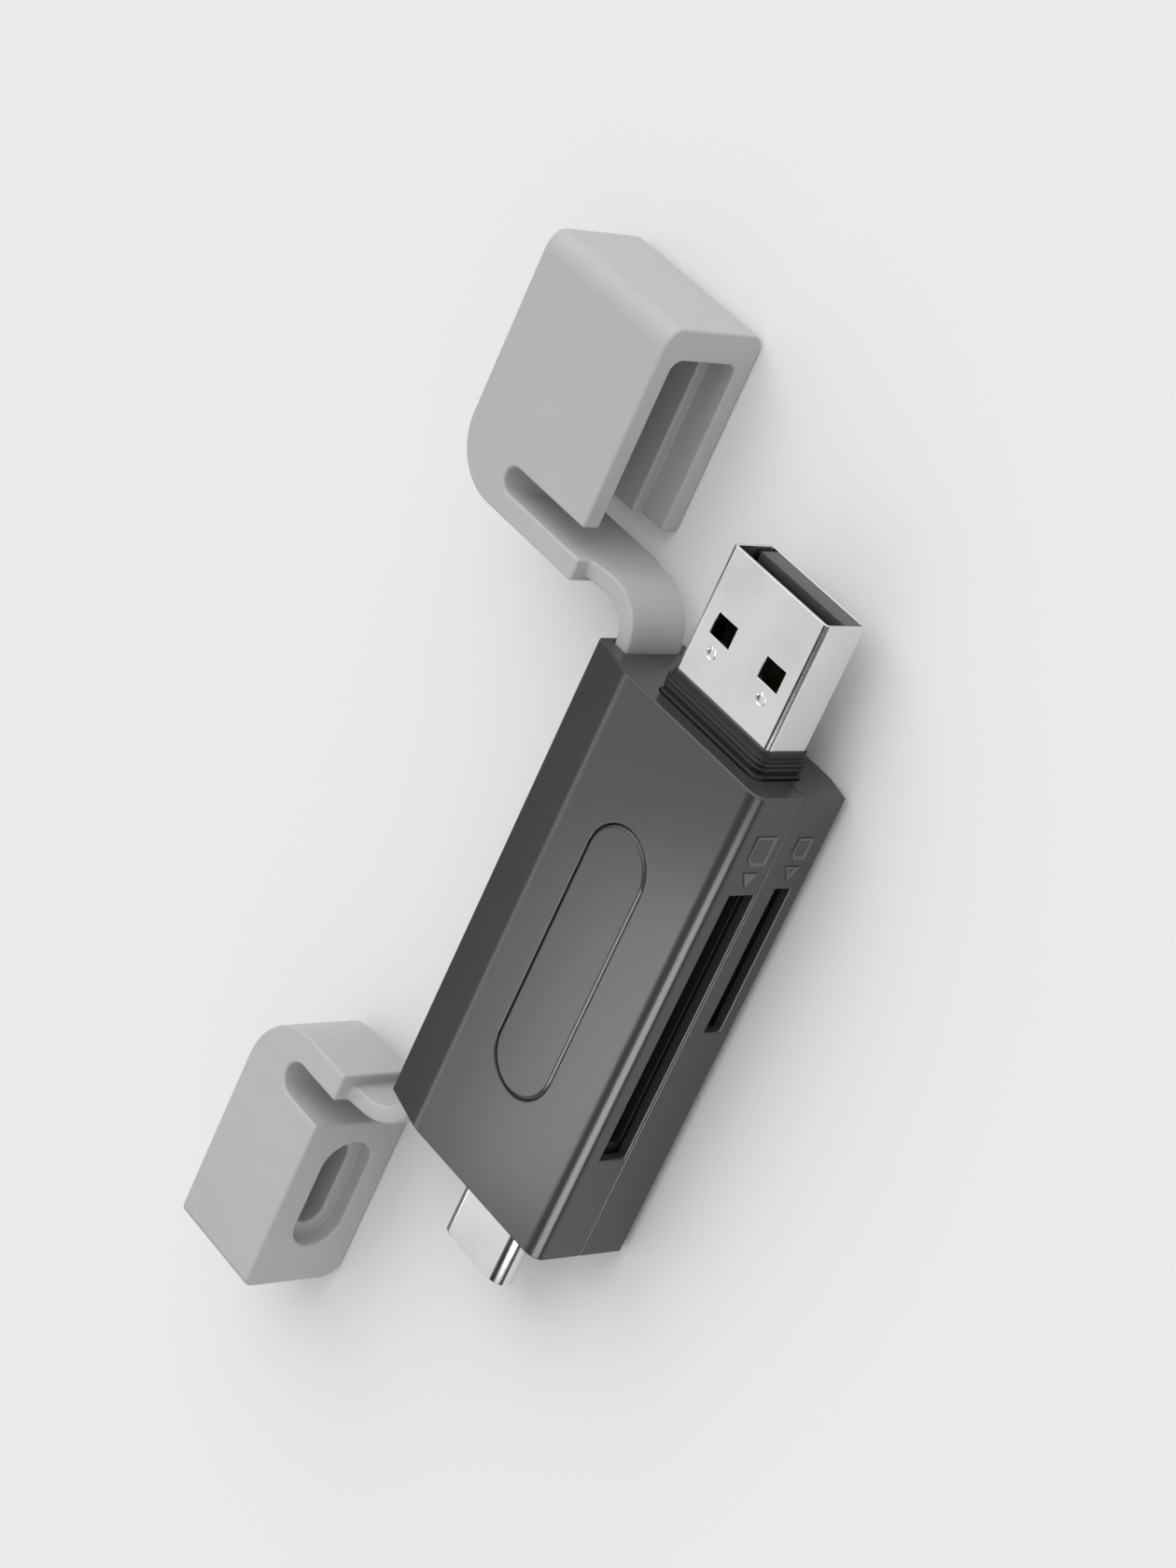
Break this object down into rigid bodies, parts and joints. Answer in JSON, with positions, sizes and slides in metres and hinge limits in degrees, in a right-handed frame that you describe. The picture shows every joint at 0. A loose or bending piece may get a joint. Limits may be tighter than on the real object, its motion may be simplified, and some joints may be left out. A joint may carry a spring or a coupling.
{
  "type": "usb memory card reader",
  "caption": "Memory card reader with a plug at each end, each under a captive rubber cap on a bent neck, and two card slots along one side.",
  "frame": {"origin": "centre of the housing's flat back face, which the reader lies on", "axes": "+Z from the back face to the front face with the oval panel; +Y along the length towards the wide plug; +X across the width towards the card slots"},
  "size_m": [0.0443, 0.0956, 0.0105],
  "materials": {
    "housing": "satin",
    "panel": "satin",
    "board": "satin",
    "plug_steel": "bright",
    "tongue": "matte",
    "contact": "bright",
    "collar": "matte",
    "insulator": "matte",
    "socket_steel": "satin",
    "chip": "matte",
    "capacitor": "satin",
    "cap_rubber": "matte"
  },
  "bodies": {
    "housing": {"front_shell": "housing", "back_shell": "housing", "oval_inlay": "panel", "circuit_board": "board", "wide_plug_shell": "plug_steel", "wide_plug_tongue": "tongue", "wide_plug_contacts": "contact", "wide_plug_spring_contacts": "contact", "wide_plug_collar": "collar", "slim_plug_shell": "plug_steel", "slim_plug_insulator": "insulator", "slim_plug_contacts_front": "contact", "slim_plug_contacts_back": "contact", "slim_plug_collar": "collar", "large_socket_base": "insulator", "large_socket_cover": "socket_steel", "large_socket_contacts": "contact", "small_socket_base": "insulator", "small_socket_cover": "socket_steel", "small_socket_contacts": "contact", "controller_chip": "chip", "power_chip": "chip", "crystal": "socket_steel", "capacitors": "capacitor", "resistors": "chip", "wide_cap_neck": "cap_rubber", "slim_cap_neck": "cap_rubber"},
    "wide_cap": {"wide_plug_cap": "cap_rubber"},
    "slim_cap": {"slim_plug_cap": "cap_rubber"}
  },
  "joints": [
    {"name": "wide_cap_swing", "type": "hinge", "parent": "housing", "child": "wide_cap", "pos_m": [-0.01106, 0.02517, 0.00525], "axis": [0, 0, 1], "range_deg": [-70, 75], "stiffness_Nm_per_rad": 0.0017, "deforming": ["wide_cap_neck"]},
    {"name": "slim_cap_swing", "type": "hinge", "parent": "housing", "child": "slim_cap", "pos_m": [-0.01106, -0.02517, 0.00525], "axis": [0, 0, 1], "range_deg": [-70, 90], "stiffness_Nm_per_rad": 0.0017, "deforming": ["slim_cap_neck"]}
  ]
}
